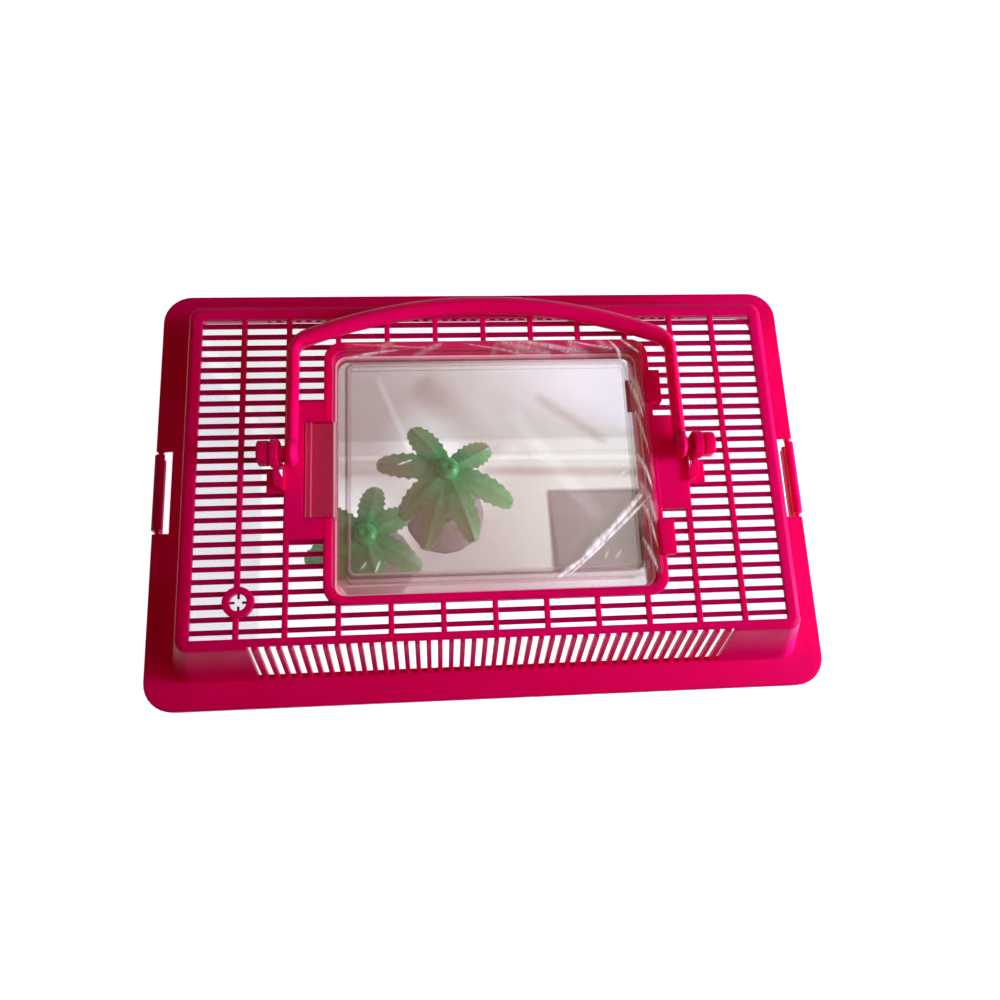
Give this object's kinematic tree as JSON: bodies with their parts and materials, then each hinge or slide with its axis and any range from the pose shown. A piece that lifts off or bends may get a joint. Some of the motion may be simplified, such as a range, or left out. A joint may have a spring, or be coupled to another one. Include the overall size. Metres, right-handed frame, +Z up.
{
  "type": "plastic critter carrier",
  "caption": "Clear tapered tank under a ventilated domed lid with a clear hinged hatch door, a folding carrying handle, side clip latches and toy palm trees standing inside.",
  "frame": {"origin": "under the middle of the tank's base, on the surface it stands on", "axes": "+Z up, +X along the length from the hatch's hinge to its catches, +Y from the front to the side the handle is folded to"},
  "size_m": [0.301, 0.195, 0.214],
  "materials": {
    "pink_plastic": "bright magenta pink moulded plastic, satin gloss",
    "clear_plastic": "clear moulded plastic, smooth",
    "clear_film": "thin clear film, crinkled",
    "leaf_green": "soft moulded green plastic leaves with veins",
    "trunk_green": "ringed green plastic trunk",
    "base_grey": "pale grey plastic island"
  },
  "bodies": {
    "tank": {"tank": "clear_plastic", "palm_1_base": "base_grey", "palm_1_trunk": "trunk_green", "palm_1_crown": "leaf_green", "palm_2_base": "base_grey", "palm_2_trunk": "trunk_green", "palm_2_crown": "leaf_green"},
    "lid": {"lid_shell": "pink_plastic"},
    "door": {"hatch_door": "clear_plastic", "protective_film": "clear_film"},
    "handle": {"handle": "pink_plastic"},
    "latch_right": {"latch_right": "pink_plastic"},
    "latch_left": {"latch_left": "pink_plastic"}
  },
  "joints": [
    {"name": "lid_lift", "type": "slide", "parent": "tank", "child": "lid", "axis": [0, 0, 1], "range_m": [0, 0.1]},
    {"name": "hatch_hinge", "type": "hinge", "parent": "lid", "child": "door", "pos_m": [-0.077, -0.0008, 0.1998], "axis": [0, -1, 0], "range_deg": [0, 103]},
    {"name": "handle_hinge", "type": "hinge", "parent": "lid", "child": "handle", "pos_m": [0, 0.0041, 0.208], "axis": [1, 0, 0], "range_deg": [0, 180]},
    {"name": "latch_right_hinge", "type": "hinge", "parent": "lid", "child": "latch_right", "pos_m": [0.1479, 0, 0.1681], "axis": [0, -1, 0], "range_deg": [0, 40]},
    {"name": "latch_left_hinge", "type": "hinge", "parent": "lid", "child": "latch_left", "pos_m": [-0.1479, 0, 0.1681], "axis": [0, 1, 0], "range_deg": [0, 40]}
  ]
}
